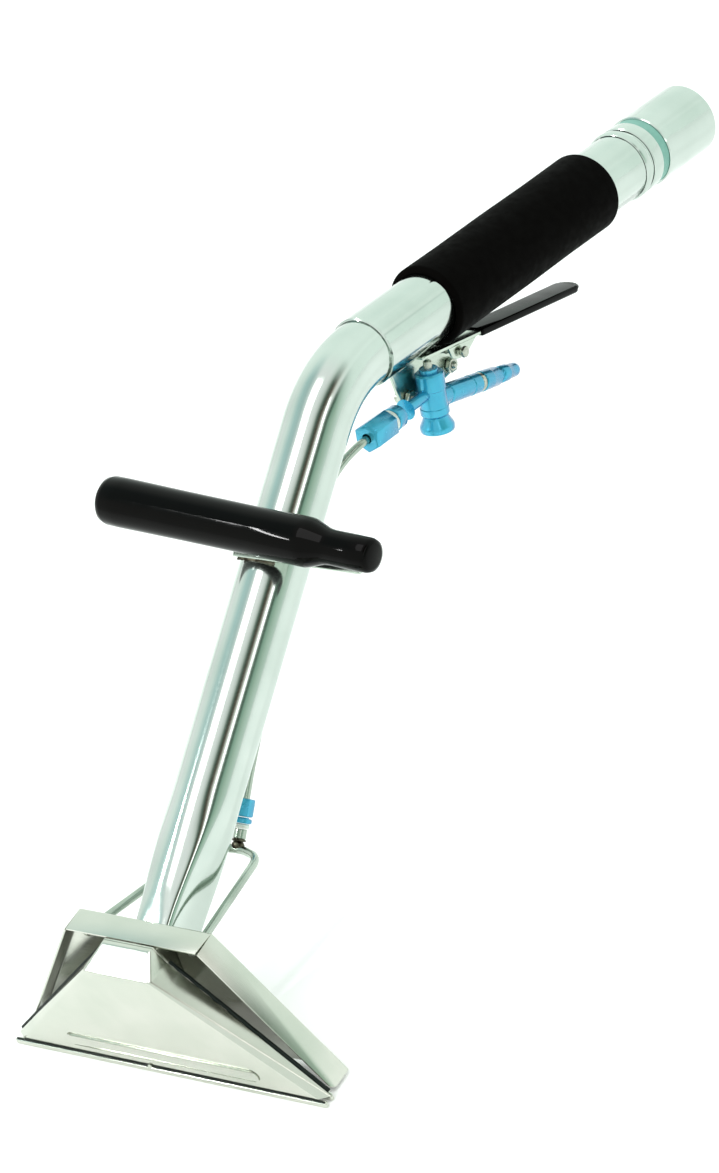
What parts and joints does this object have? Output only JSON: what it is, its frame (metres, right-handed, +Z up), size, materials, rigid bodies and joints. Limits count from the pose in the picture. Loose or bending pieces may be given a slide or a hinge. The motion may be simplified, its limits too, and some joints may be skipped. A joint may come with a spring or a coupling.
{
  "type": "carpet extractor hand wand",
  "caption": "Hand wand for a hot-water carpet extractor: flared suction head, spray hood, bent tube, cross handle, trigger valve and swivel hose cuff.",
  "frame": {"origin": "middle of the front lip's flat underside, sole flat on the floor", "axes": "+X across the head, -Y ahead of it, +Y back along the handle, +Z up"},
  "size_m": [0.209, 0.694, 0.2516],
  "materials": {
    "steel": "polished stainless steel",
    "zinc": "plated",
    "blue": "gloss metallic blue",
    "black": "dipped vinyl",
    "foam": "smooth",
    "tape": "matte",
    "seal": "matte"
  },
  "bodies": {
    "wand": {"shoe_front_shell": "steel", "shoe_rear_wall": "steel", "front_lip": "steel", "rear_lip": "steel", "throat": "steel", "spray_hood": "steel", "vacuum_tube": "steel", "handle_sleeve": "steel", "sleeve_bead": "steel", "cuff_collar": "steel", "cross_handle_bar": "steel", "cross_handle_bracket": "steel", "valve_bracket": "steel", "valve_retainer": "steel", "solution_tube": "steel", "tee_fitting": "steel", "jet_yoke": "steel", "bracket_bolt_front": "zinc", "bracket_bolt_rear": "zinc", "bracket_nut_front": "zinc", "bracket_nut_rear": "zinc", "trigger_pin": "zinc", "inlet_ferrule": "zinc", "spray_nozzle_left": "zinc", "spray_nozzle_right": "zinc", "valve_body": "blue", "valve_cap": "blue", "inlet_plug": "blue", "upper_nut": "blue", "lower_ring": "blue", "lower_nut": "blue", "cross_handle_grip": "black", "handle_grip": "foam", "upper_tape": "tape", "lower_tape": "tape", "cuff_seal": "seal"},
    "cuff": {"swivel_cuff": "steel"},
    "trigger": {"trigger_lever": "steel", "trigger_grip": "black"},
    "stem": {"valve_stem": "zinc"}
  },
  "joints": [
    {"name": "trigger_squeeze", "type": "hinge", "parent": "wand", "child": "trigger", "pos_m": [0, 0.41091, 0.17705], "axis": [1, 0, 0], "range_deg": [0, 6], "stiffness_Nm_per_rad": 1, "springref_deg": -4.58},
    {"name": "valve_stem_slide", "type": "slide", "parent": "wand", "child": "stem", "axis": [0, -0.2453, -0.9694], "range_m": [0, 0.0036]},
    {"name": "cuff_swivel", "type": "hinge", "parent": "wand", "child": "cuff", "pos_m": [0, 0.64901, 0.15188], "axis": [0, 0.9694, -0.2453], "continuous": true}
  ],
  "couplings": [
    {"joint": "valve_stem_slide", "follows": "trigger_squeeze", "m_per_rad": 0.0335}
  ]
}
